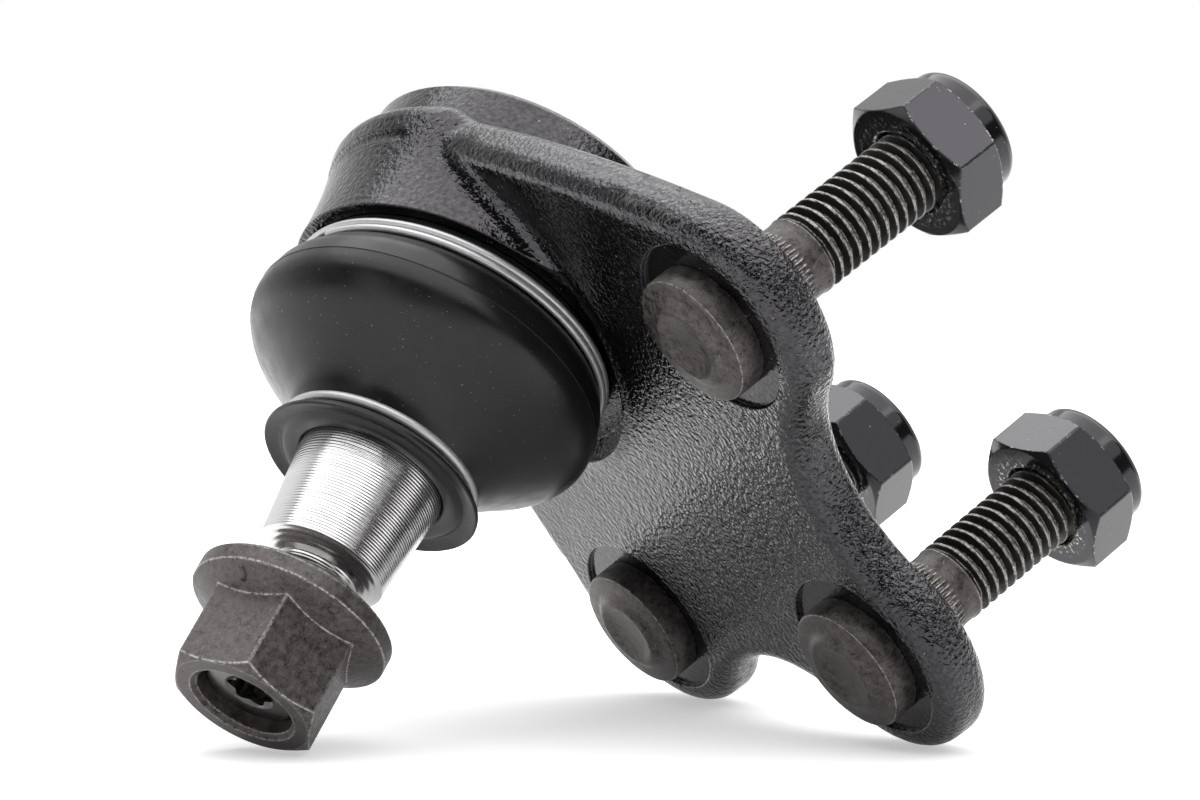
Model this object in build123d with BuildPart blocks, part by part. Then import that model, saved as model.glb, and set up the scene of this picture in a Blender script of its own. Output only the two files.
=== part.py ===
"""Suspension ball joint with a forged three-bolt bracket.

Millimetres. The origin is the ball centre, +Z runs along the stud toward its nut, and the
bolting plate reaches toward -X. The plate is tilted: its front normal leans toward +X, and
levels on it are counted along that normal from the ball centre.
"""
import os
from math import cos, hypot, radians, sin, sqrt, tan

from build123d import *

# bolting plate: tilt, levels along its normal, and outline in the plate's own plane
PLATE_TILT = 22.0
FRONT_LEVEL = 1.3
BACK_LEVEL = -5.5
PLATE_DRAFT = 0.45
SEAT_LEVEL = 0.75
BOLT_SPOTS = {"right": (-35.6, -34.5), "left": (-35.6, 34.5), "end": (-66.6, 0.0)}
LOBE_RADIUS = 14.4
SCALLOP_RADIUS = 18.2
FLANK_RADIUS = 300.0
FLANK_DEPTH = 0.6
FRONT_ROUND = 2.8
BACK_ROUND = 2.4
SPOT_FACE_RADIUS = 10.9
ARM_SEAT_STEP = 0.4
ARM_SEAT_CLEARANCE = 26.0
REACH = 120.0

# housing of the ball, turned about Z, with a ledge where its cap begins
COLLAR_RADIUS = 21.5
COLLAR_SWELL = ((0.0, 6.7), (0.3, 0.4), (0.8, -2.6), (1.5, -5.4), (1.9, -7.6), (2.1, -14.0))
COLLAR_TOP = 18.0
LEDGE_LEVEL = -9.0
LEDGE_TILT = 3.0
LEDGE_ROUND = 1.8
CREASE_LEVEL = -3.1
CREASE_RADIUS = 1.4
CREASE_DEPTH = 0.35
CREASE_SHIFT = 0.7
CAP_ROUND = 1.0
NECK_CHAMFER = 0.5
NECK_WALL = 4.0
NECK_TOP = 9.6
SHOULDER = 6.7
RING_ROOM = 1.8
RING_ROOM_DRAFT = 8.0
LIP_UNDERSIDE = 5.2
MOUTH_INNER_RADIUS = 10.3
MOUTH_OUTER_RADIUS = 14.0

# ball, bearing seat and cover: each takes its size from the one inside it
BALL_RADIUS = 11.0
BALL_FIT = 0.08
SEAT_WALL = 2.92
SEAT_FLOOR = 1.0
SEAT_WRAP = 4.8
SEAT_DRAIN_RADIUS = 4.0
COVER_OVERLAP = 4.6
COVER_THICKNESS = 1.5
COVER_DISH_RADIUS = 10.0
COVER_DISH_DEPTH = 0.5
CAP_WALL = 2.2
ROLL_HEIGHT = 0.4
ROLL_WIDTH = 1.2

# stud above the ball
POLE_FLAT_RADIUS = 2.8
STUD_NECK_RADIUS = 6.0
STUD_NECK_TOP = 12.0
GRIP_BOTTOM = 22.0
GRIP_RADIUS = 9.2
TAPER_BOTTOM = 31.6
TAPER_TOP = 44.2
TAPER_TOP_RADIUS = 7.95
TAPER_BEVEL = 0.9
THREAD_RELIEF_DEPTH = 0.9
THREAD_LEAD = 0.6
THREAD_START = 46.4
STUD_THREAD_RADIUS = 6.0
STUD_TIP = 62.2
TIP_CHAMFER = 0.7
SOCKET_RADIUS = 2.2
SOCKET_LOBE_RADIUS = 0.6
SOCKET_DEPTH = 3.0

# rubber boot, (radius, height): outside from clamp groove to lip groove, inside back down
BOOT_BOTTOM = 6.8
BOOT_GROOVE_RADIUS = 19.75
BOOT_OUTSIDE = ((20.2, 9.95), (20.9, 10.7), (21.7, 12.1), (22.3, 14.4), (22.35, 16.0), (21.85, 17.5),
                (20.35, 19.5), (17.6, 21.8), (14.8, 24.2), (13.0, 26.1), (12.2, 27.6))
BOOT_INSIDE = ((9.7, 25.9), (13.0, 23.0), (16.6, 20.1), (19.1, 17.7), (20.3, 15.2), (19.9, 12.9),
               (18.7, 11.2))
BOOT_NECK_GAP = 0.05
BOOT_INSIDE_TOP = 10.3
LIP_GROOVE_RADIUS = 11.65
LIP_PROFILE = ((27.75, 0.0), (28.95, 0.0), (29.2, 0.85), (30.3, 2.25), (30.8, 2.25),
               (30.3, 0.75), (30.9, -0.35), (30.9, -1.75))
LIP_BORE_TOP = 30.4
LIP_BORE_FIT = 0.05

# wire clamp rings, seated in the boot's grooves
UPPER_WIRE_RADIUS = 0.45
UPPER_WIRE_PITCH = 0.95
UPPER_WIRE_TURNS = 1.9
UPPER_WIRE_BEARING = -175.0
UPPER_RING_BOTTOM = 7.6
LOWER_WIRE_RADIUS = 0.6
LOWER_RING_LEVEL = 28.35
WIRE_SEATING = 0.02

# flange nut on the stud, M12 with a 17 mm hexagon
STUD_NUT_FOOT = 50.0
FLANGE_RADIUS = 12.3
FLANGE_BREAK = 0.3
FLANGE_EDGE = 2.3
FLANGE_TOP = 4.4
STUD_NUT_HEIGHT = 14.1
STUD_NUT_TURN = 28.2
HEX_ACROSS_FLATS = 17.0
HEX_CORNER_RADIUS = 9.75
HEX_FACE_RADIUS = 8.4
HEX_CHAMFER_HEIGHT = 0.75
THREAD_FIT = 0.05
NUT_MOUTH_CHAMFER = 0.6

# M10 press-in bolts
BOLT_THREAD_RADIUS = 5.0
BOLT_LENGTH = 40.0
BOLT_KNURL_RADIUS = 5.25
BOLT_KNURL_END = 8.2
BOLT_SHANK_RADIUS = 4.75
BOLT_THREAD_START = 11.2
BOLT_TIP_CHAMFER = 1.0
HEAD_RADIUS = 8.05
HEAD_HEIGHT = 3.5
HEAD_BREAK = 0.4
HEAD_BOSS_BASE = 5.6
HEAD_BOSS_TOP = 4.6
HEAD_BOSS_HEIGHT = 0.9

# M10 lock nuts: distance of the bearing face from the bolt seat, and the hexagon's turn
NUT_REACH = {"right": 31.3, "left": 31.8, "end": 29.9}
NUT_TURN = {"right": 289.4, "left": 277.0, "end": 281.1}
NUT_HEIGHT = 10.0
NUT_HEX_HEIGHT = 7.0
NUT_CROWN_RADIUS = 7.9
NUT_CROWN_ROUND = 1.2
INSERT_WALL = 1.95
INSERT_BOTTOM = 7.1
INSERT_TOP = 9.2
INSERT_FIT = 0.05
NUT_LIP_GAP = 1.0

NORMAL = Vector(sin(radians(PLATE_TILT)), 0, cos(radians(PLATE_TILT)))
ALONG = Vector(cos(radians(PLATE_TILT)), 0, -sin(radians(PLATE_TILT)))

# sizes and places that follow from the ones above
housing_spot = (-BACK_LEVEL * tan(radians(PLATE_TILT)), 0.0)
seat_inner = BALL_RADIUS + BALL_FIT
seat_radius = seat_inner + SEAT_WALL
seat_bottom = -BALL_RADIUS - SEAT_FLOOR
cover_radius = seat_radius + COVER_OVERLAP
cover_bottom = seat_bottom - COVER_THICKNESS
cap_radius = cover_radius + CAP_WALL
cap_end = cover_bottom - ROLL_HEIGHT
roll_inner_radius = cover_radius - ROLL_WIDTH
neck_radius = seat_radius + NECK_WALL
insert_inner = BOLT_THREAD_RADIUS + THREAD_FIT
insert_radius = insert_inner + INSERT_WALL
ledge_normal = Vector(-sin(radians(LEDGE_TILT)), 0, cos(radians(LEDGE_TILT)))
ledge_plane = Plane(origin=(0, 0, LEDGE_LEVEL), z_dir=ledge_normal)


def level_of(point):
    """Level of a point along the plate's normal."""
    return Vector(point).dot(NORMAL)


def plate_plane(level):
    """The plane across the plate at a level along its normal."""
    return Plane(origin=NORMAL * level, x_dir=ALONG, z_dir=NORMAL)


def bolt_plane(spot, level):
    """The plane across one bolt's axis at a level along the plate's normal."""
    u, v = BOLT_SPOTS[spot]
    centre = NORMAL * level + ALONG * u + Vector(0, v, 0)
    return Plane(origin=centre, x_dir=ALONG, z_dir=NORMAL)


def toward(start, target, distance):
    """The point at a distance from start on the way to target."""
    du = target[0] - start[0]
    dv = target[1] - start[1]
    share = distance / hypot(du, dv)
    return (start[0] + du * share, start[1] + dv * share)


def at_distances(first, first_reach, second, second_reach):
    """The point at set distances from two points, to the left of the way between them."""
    gap = hypot(second[0] - first[0], second[1] - first[1])
    run = (gap ** 2 + first_reach ** 2 - second_reach ** 2) / (2 * gap)
    rise = sqrt(first_reach ** 2 - run ** 2)
    du = (second[0] - first[0]) / gap
    dv = (second[1] - first[1]) / gap
    return (first[0] + du * run - dv * rise, first[1] + dv * run + du * rise)


def mirrored(point):
    return (point[0], -point[1])


def arc_round(centre, first, last, radius):
    """Three points of an arc about centre, between two points in line with its ends."""
    start = toward(centre, first, radius)
    finish = toward(centre, last, radius)
    middle = ((start[0] + finish[0]) / 2, (start[1] + finish[1]) / 2)
    return start, toward(centre, middle, radius), finish


def plate_outline(level, inset):
    """Lobes round the bolts, scallops between them, and flanks that run onto the housing."""
    side = BOLT_SPOTS["right"]
    end = BOLT_SPOTS["end"]
    hollow = at_distances(side, LOBE_RADIUS + SCALLOP_RADIUS, end, LOBE_RADIUS + SCALLOP_RADIUS)
    flank_reach = FLANK_RADIUS - COLLAR_RADIUS + FLANK_DEPTH
    flank = at_distances(side, FLANK_RADIUS - LOBE_RADIUS, housing_spot, flank_reach)
    scallop_arc = arc_round(hollow, end, side, SCALLOP_RADIUS + inset)
    flank_arc = arc_round(flank, side, housing_spot, FLANK_RADIUS - inset)
    lobe_arc = arc_round(side, scallop_arc[2], flank_arc[0], LOBE_RADIUS - inset)
    end_tip = (end[0] - LOBE_RADIUS + inset, end[1])
    with BuildSketch(plate_plane(level)) as outline:
        with BuildLine():
            ThreePointArc(mirrored(scallop_arc[0]), end_tip, scallop_arc[0])
            for arc in (scallop_arc, lobe_arc, flank_arc):
                ThreePointArc(*arc)
                ThreePointArc(*[mirrored(point) for point in arc])
            Line(flank_arc[2], mirrored(flank_arc[2]))
        make_face()
    return outline.sketch


def turned(*points):
    """A closed outline in the XZ plane, (radius, height), to be turned about Z."""
    with BuildSketch(Plane.XZ) as outline:
        with BuildLine():
            Polyline(*points, close=True)
        make_face()
    return outline.sketch


def on_level(edge, level):
    """Whether an edge lies in the plate's plane at a level."""
    return all(abs(level_of(edge @ share) - level) < 0.05 for share in (0, 0.5, 1))


def crosses_flank(edge):
    """Whether an edge runs from front to back where a flank meets the housing."""
    middle = edge @ 0.5
    climb = abs(level_of(edge @ 0) - level_of(edge @ 1))
    near = COLLAR_RADIUS - 1 < hypot(middle.X, middle.Y) < COLLAR_RADIUS + COLLAR_SWELL[-1][0]
    return near and climb > 0.9 * (FRONT_LEVEL - BACK_LEVEL) and edge.length < REACH / 10


os.makedirs("parts", exist_ok=True)

# ---- forged bracket ------------------------------------------------------------------------
front_outline = plate_outline(FRONT_LEVEL, PLATE_DRAFT)
back_outline = plate_outline(BACK_LEVEL, 0.0)
with BuildPart() as collar:
    # swelling barrel, trimmed along its ledge and along the back of the plate
    with BuildSketch(Plane.XZ):
        with BuildLine():
            swell = [(COLLAR_RADIUS + swelling, height) for swelling, height in COLLAR_SWELL]
            Spline((COLLAR_RADIUS, COLLAR_TOP), *swell)
            Polyline(swell[-1], (0, swell[-1][1]), (0, COLLAR_TOP), (COLLAR_RADIUS, COLLAR_TOP))
        make_face()
    revolve(axis=Axis.Z)
    split(bisect_by=ledge_plane, keep=Keep.TOP)
    split(bisect_by=plate_plane(BACK_LEVEL), keep=Keep.TOP)

with BuildPart() as forged_bracket:
    # drafted plate and barrel, rounded where they meet and along every rim
    loft(sections=(back_outline.face(), front_outline.face()), ruled=True)
    split(bisect_by=ledge_plane, keep=Keep.TOP)
    add(collar.part)
    fronts = forged_bracket.edges().filter_by(lambda edge: on_level(edge, FRONT_LEVEL))
    crossings = forged_bracket.edges().filter_by(crosses_flank)
    fillet(fronts + crossings, FRONT_ROUND)
    fillet(forged_bracket.edges().filter_by(lambda edge: on_level(edge, BACK_LEVEL)), BACK_ROUND)
    ledge = forged_bracket.edges().filter_by(lambda edge: (edge @ 0.5).X > 0 and (edge @ 0.5).Z < SHOULDER)
    ledge = ledge.filter_by(lambda edge: ledge_plane.to_local_coords(edge @ 0.5).Z < 0.01)
    fillet(ledge.sort_by(SortBy.LENGTH)[-2:], LEDGE_ROUND)
    # the flat that the arm lies on stands proud of the plate's back round the housing
    with BuildSketch(plate_plane(BACK_LEVEL)):
        with Locations(housing_spot):
            Circle(ARM_SEAT_CLEARANCE)
    extrude(amount=ARM_SEAT_STEP, mode=Mode.SUBTRACT)
    # shallow crease across the far side of the barrel, its circle set off from the stud's axis
    crease_reach = COLLAR_RADIUS + COLLAR_SWELL[2][0] - CREASE_DEPTH + CREASE_RADIUS + CREASE_SHIFT
    with BuildSketch(Plane.XZ):
        with Locations((crease_reach - CREASE_SHIFT, CREASE_LEVEL)):
            Circle(CREASE_RADIUS)
    revolve(axis=Axis((-CREASE_SHIFT, 0, 0), (0, 0, 1)), mode=Mode.SUBTRACT)
    # room round the boot's skirt and its clamp ring
    with BuildSketch(Plane.XY.offset(SHOULDER)):
        Circle(COLLAR_RADIUS + RING_ROOM)
    extrude(amount=REACH, taper=-RING_ROOM_DRAFT, mode=Mode.SUBTRACT)
    # cap behind the ledge and neck inside the boot
    add(turned((0, 0), (cap_radius, 0), (cap_radius, cap_end + CAP_ROUND),
               (cap_radius - CAP_ROUND, cap_end), (0, cap_end)))
    revolve(axis=Axis.Z)
    add(turned((0, 0), (neck_radius, 0), (neck_radius, NECK_TOP - NECK_CHAMFER),
               (neck_radius - NECK_CHAMFER, NECK_TOP), (0, NECK_TOP)))
    revolve(axis=Axis.Z)
    # bore for seat and cover, with the rolled rim below and the stud's mouth above
    add(turned((0, cap_end), (roll_inner_radius, cap_end), (roll_inner_radius, cover_bottom),
               (cover_radius, cover_bottom), (cover_radius, seat_bottom), (seat_radius, seat_bottom),
               (seat_radius, LIP_UNDERSIDE), (MOUTH_INNER_RADIUS, LIP_UNDERSIDE),
               (MOUTH_OUTER_RADIUS, NECK_TOP), (0, NECK_TOP)))
    revolve(axis=Axis.Z, mode=Mode.SUBTRACT)
    for spot in BOLT_SPOTS:
        with BuildSketch(bolt_plane(spot, SEAT_LEVEL)):
            Circle(SPOT_FACE_RADIUS)
        extrude(amount=REACH, mode=Mode.SUBTRACT)
        with BuildSketch(bolt_plane(spot, SEAT_LEVEL)):
            Circle(BOLT_KNURL_RADIUS)
        extrude(amount=-REACH, mode=Mode.SUBTRACT)
forged_bracket.part.label = "forged_bracket"

# ---- cover plate ---------------------------------------------------------------------------
with BuildPart() as cover_plate:
    add(turned((0, seat_bottom), (cover_radius, seat_bottom), (cover_radius, cover_bottom),
               (COVER_DISH_RADIUS + COVER_DISH_DEPTH, cover_bottom),
               (COVER_DISH_RADIUS, cover_bottom + COVER_DISH_DEPTH), (0, cover_bottom + COVER_DISH_DEPTH)))
    revolve(axis=Axis.Z)
cover_plate.part.label = "cover_plate"

# ---- bearing seat --------------------------------------------------------------------------
wrap_radius = sqrt(seat_inner ** 2 - SEAT_WRAP ** 2)
drain_level = -sqrt(seat_inner ** 2 - SEAT_DRAIN_RADIUS ** 2)
with BuildPart() as bearing_seat:
    with BuildSketch(Plane.XZ):
        with BuildLine():
            ThreePointArc((wrap_radius, SEAT_WRAP), (seat_inner, 0), (SEAT_DRAIN_RADIUS, drain_level))
            Polyline((SEAT_DRAIN_RADIUS, drain_level), (SEAT_DRAIN_RADIUS, seat_bottom),
                     (seat_radius, seat_bottom), (seat_radius, LIP_UNDERSIDE),
                     (MOUTH_INNER_RADIUS, LIP_UNDERSIDE), (wrap_radius, SEAT_WRAP))
        make_face()
    revolve(axis=Axis.Z)
bearing_seat.part.label = "bearing_seat"

# ---- ball stud -----------------------------------------------------------------------------
pole_level = -sqrt(BALL_RADIUS ** 2 - POLE_FLAT_RADIUS ** 2)
neck_level = sqrt(BALL_RADIUS ** 2 - STUD_NECK_RADIUS ** 2)
relief_radius = STUD_THREAD_RADIUS - THREAD_RELIEF_DEPTH
with BuildPart() as ball_stud:
    with BuildSketch(Plane.XZ):
        with BuildLine():
            ThreePointArc((POLE_FLAT_RADIUS, pole_level), (BALL_RADIUS, 0), (STUD_NECK_RADIUS, neck_level))
            Polyline((STUD_NECK_RADIUS, neck_level), (STUD_NECK_RADIUS, STUD_NECK_TOP),
                     (GRIP_RADIUS, GRIP_BOTTOM), (GRIP_RADIUS, TAPER_BOTTOM),
                     (TAPER_TOP_RADIUS, TAPER_TOP), (STUD_THREAD_RADIUS, TAPER_TOP + TAPER_BEVEL),
                     (relief_radius, TAPER_TOP + TAPER_BEVEL), (relief_radius, THREAD_START - THREAD_LEAD),
                     (STUD_THREAD_RADIUS, THREAD_START), (STUD_THREAD_RADIUS, STUD_TIP - TIP_CHAMFER),
                     (STUD_THREAD_RADIUS - TIP_CHAMFER, STUD_TIP), (0, STUD_TIP), (0, pole_level),
                     (POLE_FLAT_RADIUS, pole_level))
        make_face()
    revolve(axis=Axis.Z)
    # six-lobed socket for holding the stud while the nut is turned
    with BuildSketch(Plane.XY.offset(STUD_TIP)):
        Circle(SOCKET_RADIUS)
        with PolarLocations(SOCKET_RADIUS, 6):
            Circle(SOCKET_LOBE_RADIUS)
    extrude(amount=-SOCKET_DEPTH, mode=Mode.SUBTRACT)
ball_stud.part.label = "ball_stud"

# ---- dust boot -----------------------------------------------------------------------------
skirt_radius = neck_radius + BOOT_NECK_GAP
lip_bore = GRIP_RADIUS + LIP_BORE_FIT
lip_outline = [(LIP_GROOVE_RADIUS + step, height) for height, step in LIP_PROFILE]
with BuildPart() as dust_boot:
    with BuildSketch(Plane.XZ):
        with BuildLine():
            Polyline((skirt_radius, BOOT_INSIDE_TOP), (skirt_radius, BOOT_BOTTOM),
                     (BOOT_GROOVE_RADIUS, BOOT_BOTTOM), (BOOT_GROOVE_RADIUS, BOOT_OUTSIDE[0][1]),
                     BOOT_OUTSIDE[0])
            Spline(*BOOT_OUTSIDE)
            Polyline(BOOT_OUTSIDE[-1], *lip_outline, (lip_bore, LIP_BORE_TOP),
                     (lip_bore, BOOT_INSIDE[0][1]), BOOT_INSIDE[0])
            Spline(*BOOT_INSIDE)
            Line(BOOT_INSIDE[-1], (skirt_radius, BOOT_INSIDE_TOP))
        make_face()
    revolve(axis=Axis.Z)
dust_boot.part.label = "dust_boot"

# ---- clamp rings ---------------------------------------------------------------------------
coil_radius = BOOT_GROOVE_RADIUS + WIRE_SEATING + UPPER_WIRE_RADIUS
coil_start = Plane.XY.offset(UPPER_RING_BOTTOM).rotated((0, 0, UPPER_WIRE_BEARING))
with BuildPart() as upper_clamp_ring:
    with BuildLine(coil_start) as coil:
        Helix(pitch=UPPER_WIRE_PITCH, height=UPPER_WIRE_PITCH * UPPER_WIRE_TURNS, radius=coil_radius)
    with BuildSketch(Plane(origin=coil.line @ 0, z_dir=coil.line % 0)):
        Circle(UPPER_WIRE_RADIUS)
    sweep(path=coil.line, is_frenet=True)
upper_clamp_ring.part.label = "upper_clamp_ring"

with BuildPart() as lower_clamp_ring:
    with BuildSketch(Plane.XZ):
        with Locations((LIP_GROOVE_RADIUS + WIRE_SEATING + LOWER_WIRE_RADIUS, LOWER_RING_LEVEL)):
            Circle(LOWER_WIRE_RADIUS)
    revolve(axis=Axis.Z)
lower_clamp_ring.part.label = "lower_clamp_ring"


# ---- hexagons and threaded bores -----------------------------------------------------------
def chamfered_hexagon(foot, height, turn):
    """A hexagon standing on the XY plane: foot circle below, chamfered face circle on top."""
    with BuildPart() as hexagon:
        with BuildSketch():
            RegularPolygon(HEX_ACROSS_FLATS / 2, 6, major_radius=False, rotation=turn)
        extrude(amount=height)
        add(turned((0, 0), (foot, 0), (HEX_CORNER_RADIUS, HEX_CHAMFER_HEIGHT),
                   (HEX_CORNER_RADIUS, height - HEX_CHAMFER_HEIGHT), (HEX_FACE_RADIUS, height),
                   (0, height)))
        revolve(axis=Axis.Z, mode=Mode.INTERSECT)
    return hexagon.part


def nut_bore(thread, height):
    """The turned outline that clears a nut's thread, with a chamfer at both mouths."""
    bore = thread + THREAD_FIT
    mouth = bore + NUT_MOUTH_CHAMFER
    return turned((0, 0), (mouth, 0), (bore, NUT_MOUTH_CHAMFER), (bore, height - NUT_MOUTH_CHAMFER),
                  (mouth, height), (0, height))


# ---- stud nut ------------------------------------------------------------------------------
stud_hexagon = chamfered_hexagon(HEX_CORNER_RADIUS, STUD_NUT_HEIGHT, STUD_NUT_TURN)
with BuildPart() as stud_nut_solid:
    add(stud_hexagon)
    add(turned((0, 0), (FLANGE_RADIUS - FLANGE_BREAK, 0), (FLANGE_RADIUS, FLANGE_BREAK),
               (FLANGE_RADIUS, FLANGE_EDGE), (HEX_FACE_RADIUS, FLANGE_TOP), (0, FLANGE_TOP)))
    revolve(axis=Axis.Z)
    add(nut_bore(STUD_THREAD_RADIUS, STUD_NUT_HEIGHT))
    revolve(axis=Axis.Z, mode=Mode.SUBTRACT)
stud_nut = Plane.XY.offset(STUD_NUT_FOOT).location * stud_nut_solid.part
stud_nut.label = "stud_nut"

# ---- bolts: the head sits on z = 0, the shank runs down -------------------------------------
with BuildPart() as bolt_solid:
    add(turned((0, HEAD_HEIGHT + HEAD_BOSS_HEIGHT), (HEAD_BOSS_TOP, HEAD_HEIGHT + HEAD_BOSS_HEIGHT),
               (HEAD_BOSS_BASE, HEAD_HEIGHT), (HEAD_RADIUS - HEAD_BREAK, HEAD_HEIGHT),
               (HEAD_RADIUS, HEAD_HEIGHT - HEAD_BREAK), (HEAD_RADIUS, 0), (BOLT_KNURL_RADIUS, 0),
               (BOLT_KNURL_RADIUS, -BOLT_KNURL_END), (BOLT_SHANK_RADIUS, -BOLT_KNURL_END - HEAD_BREAK),
               (BOLT_SHANK_RADIUS, -BOLT_THREAD_START),
               (BOLT_THREAD_RADIUS, -BOLT_THREAD_START - HEAD_BREAK),
               (BOLT_THREAD_RADIUS, BOLT_TIP_CHAMFER - BOLT_LENGTH),
               (BOLT_THREAD_RADIUS - BOLT_TIP_CHAMFER, -BOLT_LENGTH), (0, -BOLT_LENGTH)))
    revolve(axis=Axis.Z)

# ---- nylon inserts and lock nuts: the bearing face is z = 0, the crown is above --------------
with BuildPart() as insert_solid:
    with BuildSketch(Plane.XY.offset(INSERT_BOTTOM)):
        Circle(insert_radius)
        Circle(insert_inner, mode=Mode.SUBTRACT)
    extrude(amount=INSERT_TOP - INSERT_BOTTOM)


def lock_nut_solid(turn):
    """A lock nut whose hexagon is turned by an angle, open where its nylon ring sits."""
    hexagon = chamfered_hexagon(HEX_FACE_RADIUS, NUT_HEX_HEIGHT, turn)
    pocket = insert_radius + INSERT_FIT
    opening = BOLT_THREAD_RADIUS + NUT_LIP_GAP
    with BuildPart() as nut:
        add(hexagon)
        with BuildSketch():
            Circle(NUT_CROWN_RADIUS)
        extrude(amount=NUT_HEIGHT)
        fillet(nut.faces().sort_by(Axis.Z)[-1].edges(), NUT_CROWN_ROUND)
        add(nut_bore(BOLT_THREAD_RADIUS, NUT_HEX_HEIGHT + NUT_MOUTH_CHAMFER))
        add(turned((0, INSERT_BOTTOM - INSERT_FIT), (pocket, INSERT_BOTTOM - INSERT_FIT),
                   (pocket, INSERT_TOP + INSERT_FIT), (opening, INSERT_TOP + INSERT_FIT),
                   (opening, NUT_HEIGHT), (0, NUT_HEIGHT)))
        revolve(axis=Axis.Z, mode=Mode.SUBTRACT)
    return nut.part


fasteners = []
for spot in BOLT_SPOTS:
    seat = bolt_plane(spot, SEAT_LEVEL)
    bearing = bolt_plane(spot, SEAT_LEVEL - NUT_REACH[spot])
    away = Plane(origin=bearing.origin, x_dir=ALONG, z_dir=-NORMAL)
    bolt = seat.location * bolt_solid.part
    bolt.label = "bolt_" + spot
    lock_nut = away.location * lock_nut_solid(-NUT_TURN[spot])
    lock_nut.label = "lock_nut_" + spot
    insert = away.location * insert_solid.part
    insert.label = "nylon_insert_" + spot
    fasteners += [bolt, lock_nut, insert]

single_parts = (forged_bracket, cover_plate, bearing_seat, ball_stud, dust_boot,
                upper_clamp_ring, lower_clamp_ring)
for solid in [built.part for built in single_parts] + [stud_nut] + fasteners:
    export_step(solid, "parts/" + solid.label + ".step")
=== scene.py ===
"""Suspension ball joint: looks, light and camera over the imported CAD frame.

Blender works in metres, from the ball's centre. The sizes and places named here are millimetres,
apart from those of the table and the lights, and MM turns them into metres. An outline is a row
of (radius, height) points.
"""
import bmesh
import bpy
from math import cos, pi, radians, sin, sqrt
from mathutils import Matrix, Vector


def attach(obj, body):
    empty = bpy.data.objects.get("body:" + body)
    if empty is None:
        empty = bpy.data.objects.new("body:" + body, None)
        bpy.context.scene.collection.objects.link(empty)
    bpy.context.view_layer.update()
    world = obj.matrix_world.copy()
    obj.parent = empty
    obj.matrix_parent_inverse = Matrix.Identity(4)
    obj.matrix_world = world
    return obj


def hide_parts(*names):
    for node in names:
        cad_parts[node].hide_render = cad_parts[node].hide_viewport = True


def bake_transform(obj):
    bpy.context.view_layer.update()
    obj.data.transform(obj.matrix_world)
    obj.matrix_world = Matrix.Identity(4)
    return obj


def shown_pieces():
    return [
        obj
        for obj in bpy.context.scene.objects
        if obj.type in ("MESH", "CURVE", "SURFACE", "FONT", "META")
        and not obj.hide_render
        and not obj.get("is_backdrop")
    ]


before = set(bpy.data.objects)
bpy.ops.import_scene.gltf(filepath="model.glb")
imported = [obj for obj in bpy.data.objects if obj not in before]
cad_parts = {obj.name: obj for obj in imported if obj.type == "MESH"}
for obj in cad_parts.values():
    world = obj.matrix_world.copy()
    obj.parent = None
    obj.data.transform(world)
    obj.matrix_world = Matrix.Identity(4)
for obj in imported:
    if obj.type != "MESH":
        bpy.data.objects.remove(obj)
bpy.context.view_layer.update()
MM = 0.001


def add_object(name, data):
    """Puts a new object that holds the data into the scene."""
    obj = bpy.data.objects.new(name, data)
    bpy.context.scene.collection.objects.link(obj)
    return obj


def placing(origin, x_axis, y_axis, z_axis):
    """Matrix that takes a shape's own axes to the given ones and its origin to a point in metres."""
    return Matrix.Translation(origin) @ Matrix((x_axis, y_axis, z_axis)).transposed().to_4x4()


# ---- frame of the tilted bolting plate -------------------------------------------------------
# A bolt's spot is measured along and across the plate, and SEAT_LEVEL, on which the heads sit, along
# NORMAL. Heights on a bolt count from its seat.
PLATE_TILT = radians(22.0)
NORMAL = Vector((sin(PLATE_TILT), 0, cos(PLATE_TILT)))
ALONG = Vector((cos(PLATE_TILT), 0, -sin(PLATE_TILT)))
ACROSS = Vector((0, 1, 0))
BOLT_SPOTS = {"right": (-35.6, -34.5), "left": (-35.6, 34.5), "end": (-66.6, 0.0)}
SEAT_LEVEL = 0.75
BOLT_THREAD_TOP = -14.0


# ---- camera ----------------------------------------------------------------------------------
# Place, direction and lens come from a camera fitted to the photograph. The nearest and farthest
# distances that it sees are in metres.
CAMERA_PLACE = Vector((-89.5, -423.6, 255.8))
CAMERA_BACK = Vector((-0.1407, -0.8550, 0.4991)).normalized()
CAMERA_LEFT = Vector((0.9086, 0.0886, 0.4080)).normalized()
LENS = 124.36
SENSOR_WIDTH = 36.0
NEAREST = 0.01
FARTHEST = 20.0


def make_camera():
    """The photograph's point of view."""
    data = bpy.data.cameras.new("camera")
    data.lens = LENS
    data.sensor_width = SENSOR_WIDTH
    data.clip_start = NEAREST
    data.clip_end = FARTHEST
    obj = add_object("camera", data)
    up = CAMERA_BACK.cross(-CAMERA_LEFT).normalized()
    right = up.cross(CAMERA_BACK).normalized()
    obj.matrix_world = placing(CAMERA_PLACE * MM, right, up, CAMERA_BACK)
    bpy.context.scene.camera = obj


make_camera()


# ---- node helpers ----------------------------------------------------------------------------
# MIX_SOCKETS says which inputs a mix node of each kind blends and which output has the result.
# EDGE_BEND is how much rounding has to turn a normal before an edge begins to show and is full.
MIX_SOCKETS = {"FLOAT": (2, 3, 0), "RGBA": (6, 7, 2)}
EDGE_SAMPLES = 8
SOFTEN_SAMPLES = 6
EDGE_BEND = (0.006, 0.075)
SPECK_FADE = 0.025


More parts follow.
